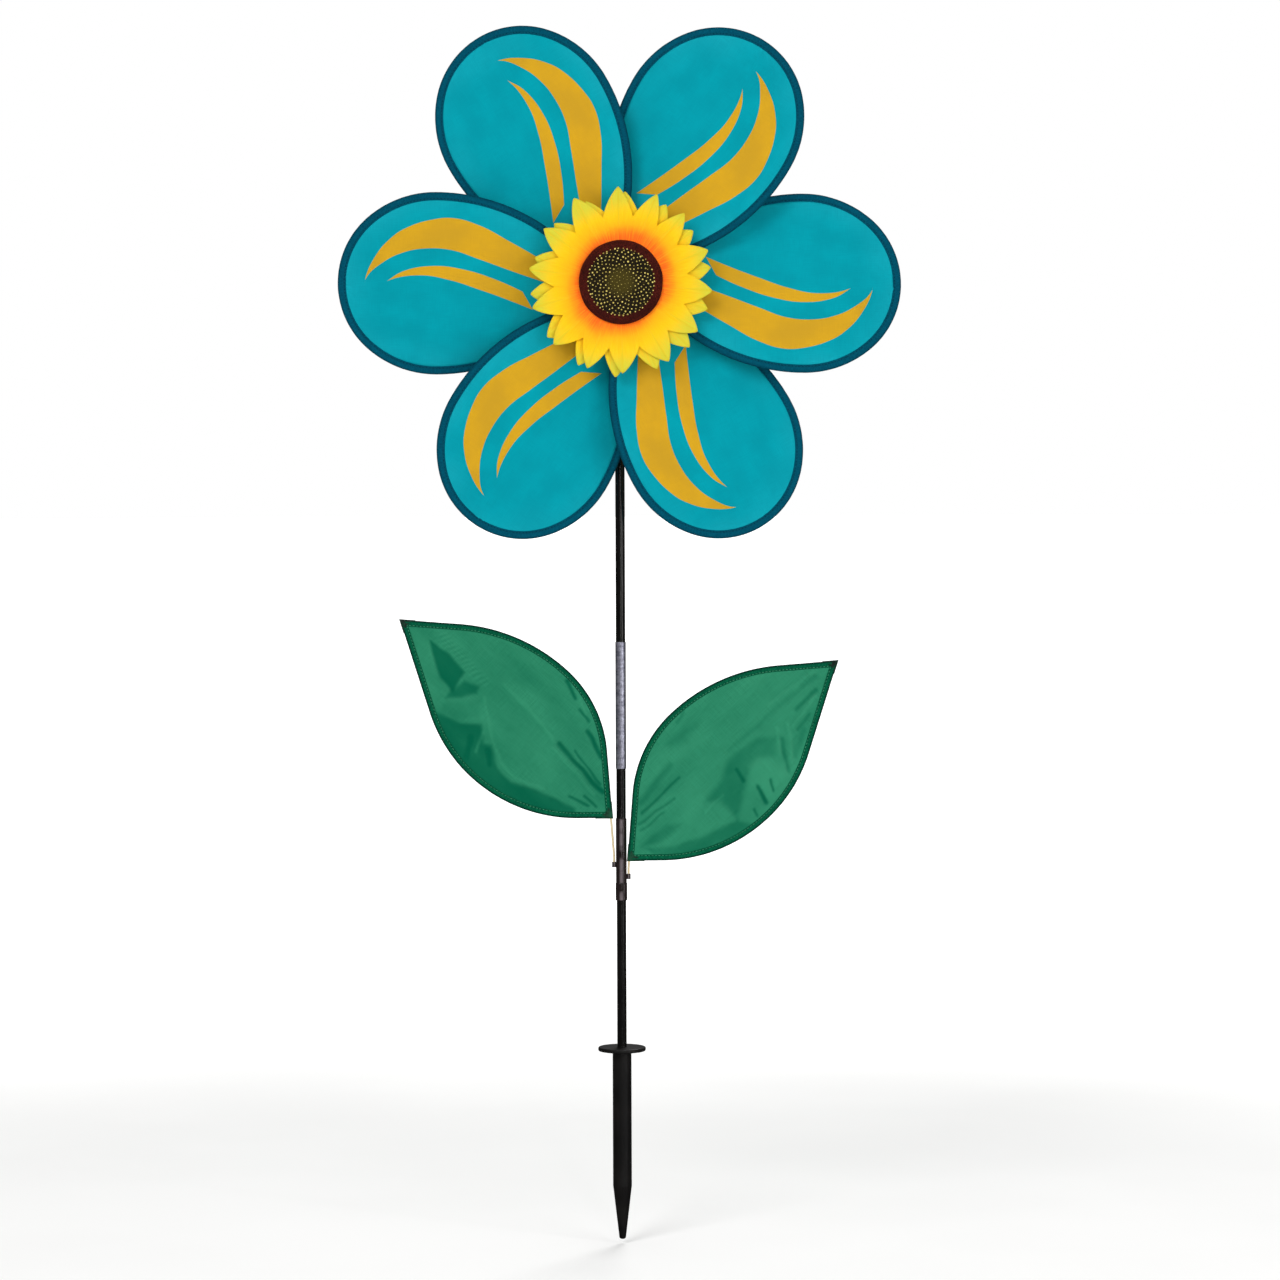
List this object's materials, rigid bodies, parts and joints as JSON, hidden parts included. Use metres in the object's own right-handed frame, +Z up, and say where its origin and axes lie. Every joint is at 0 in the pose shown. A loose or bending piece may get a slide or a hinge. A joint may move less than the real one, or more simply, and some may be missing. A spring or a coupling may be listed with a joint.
{
  "type": "wind spinner",
  "caption": "Garden wind spinner: a fabric flower with rod-edged petals and a sunflower centre turns on a level axle atop a jointed pole with two fabric leaves and a ground stake.",
  "frame": {"origin": "on the pole's axis at ground level, the underside of the stake's flange", "axes": "+Z up the pole, -Y the way the flower faces, +X to the flower's right as seen from the front"},
  "size_m": [0.484, 0.0747, 1.0502],
  "materials": {
    "stake_plastic": "satin moulded plastic",
    "pole_black": "gloss black tube",
    "ferrule_metal": "drawn tube, half bright",
    "grip_vinyl": "smoky vinyl sleeve",
    "rod_fibreglass": "cream pultruded rod",
    "fitting_plastic": "satin moulded plastic",
    "axle_steel": "bright drawn rod",
    "bush_nylon": "natural nylon",
    "cap_plastic": "push-on cap",
    "petal_cloth": "teal printed polyester",
    "petal_binding": "dark teal folded tape",
    "leaf_cloth": "shiny green nylon",
    "leaf_hem": "sewn green hem",
    "leaf_base_patch": "folded green patch",
    "leaf_tip_patch": "dark folded corner",
    "sunflower_silk": "printed yellow silk",
    "seed_brown": "textured seeds"
  },
  "bodies": {
    "stake": {"ground_stake": "stake_plastic"},
    "lower_pole": {"lower_pole": "pole_black", "lower_leaf_grip": "grip_vinyl", "upper_leaf_grip": "grip_vinyl"},
    "right_leaf": {"right_leaf_collar": "grip_vinyl", "right_leaf_upper_rod": "rod_fibreglass", "right_leaf_lower_rod": "rod_fibreglass", "right_leaf_hem": "leaf_hem", "right_leaf_panel": "leaf_cloth", "right_leaf_base_patch": "leaf_base_patch", "right_leaf_tip_patch": "leaf_tip_patch"},
    "left_leaf": {"left_leaf_collar": "grip_vinyl", "left_leaf_upper_rod": "rod_fibreglass", "left_leaf_lower_rod": "rod_fibreglass", "left_leaf_hem": "leaf_hem", "left_leaf_panel": "leaf_cloth", "left_leaf_base_patch": "leaf_base_patch", "left_leaf_tip_patch": "leaf_tip_patch"},
    "head": {"upper_pole": "pole_black", "pole_ferrule": "ferrule_metal", "pole_top_fitting": "fitting_plastic", "axle": "axle_steel", "rear_washer": "axle_steel", "front_washer": "axle_steel", "axle_front_cap": "cap_plastic", "axle_rear_cap": "cap_plastic"},
    "rotor": {"hub": "fitting_plastic", "hub_rear_bush": "bush_nylon", "hub_front_bush": "bush_nylon", "flower_base": "fitting_plastic", "sunflower_rear_layer": "sunflower_silk", "sunflower_front_layer": "sunflower_silk", "seed_head": "seed_brown", "petal_1_rod": "rod_fibreglass", "petal_1_binding": "petal_binding", "petal_1_panel": "petal_cloth", "petal_2_rod": "rod_fibreglass", "petal_2_binding": "petal_binding", "petal_2_panel": "petal_cloth", "petal_3_rod": "rod_fibreglass", "petal_3_binding": "petal_binding", "petal_3_panel": "petal_cloth", "petal_4_rod": "rod_fibreglass", "petal_4_binding": "petal_binding", "petal_4_panel": "petal_cloth", "petal_5_rod": "rod_fibreglass", "petal_5_binding": "petal_binding", "petal_5_panel": "petal_cloth", "petal_6_rod": "rod_fibreglass", "petal_6_binding": "petal_binding", "petal_6_panel": "petal_cloth"}
  },
  "joints": [
    {"name": "lower_pole_lift", "type": "slide", "parent": "stake", "child": "lower_pole", "axis": [0, 0, 1], "range_m": [0, 0.057]},
    {"name": "right_leaf_swivel", "type": "hinge", "parent": "lower_pole", "child": "right_leaf", "pos_m": [0, 0, 0.152], "axis": [0, 0, 1], "range_deg": [-70, 70]},
    {"name": "left_leaf_swivel", "type": "hinge", "parent": "lower_pole", "child": "left_leaf", "pos_m": [0, 0, 0.162], "axis": [0, 0, 1], "range_deg": [-70, 70]},
    {"name": "head_turn", "type": "hinge", "parent": "lower_pole", "child": "head", "pos_m": [0, 0, 0.3013], "axis": [0, 0, 1], "continuous": true},
    {"name": "rotor_spin", "type": "hinge", "parent": "head", "child": "rotor", "pos_m": [0, -0.024, 0.6656], "axis": [0, -1, 0], "continuous": true}
  ]
}
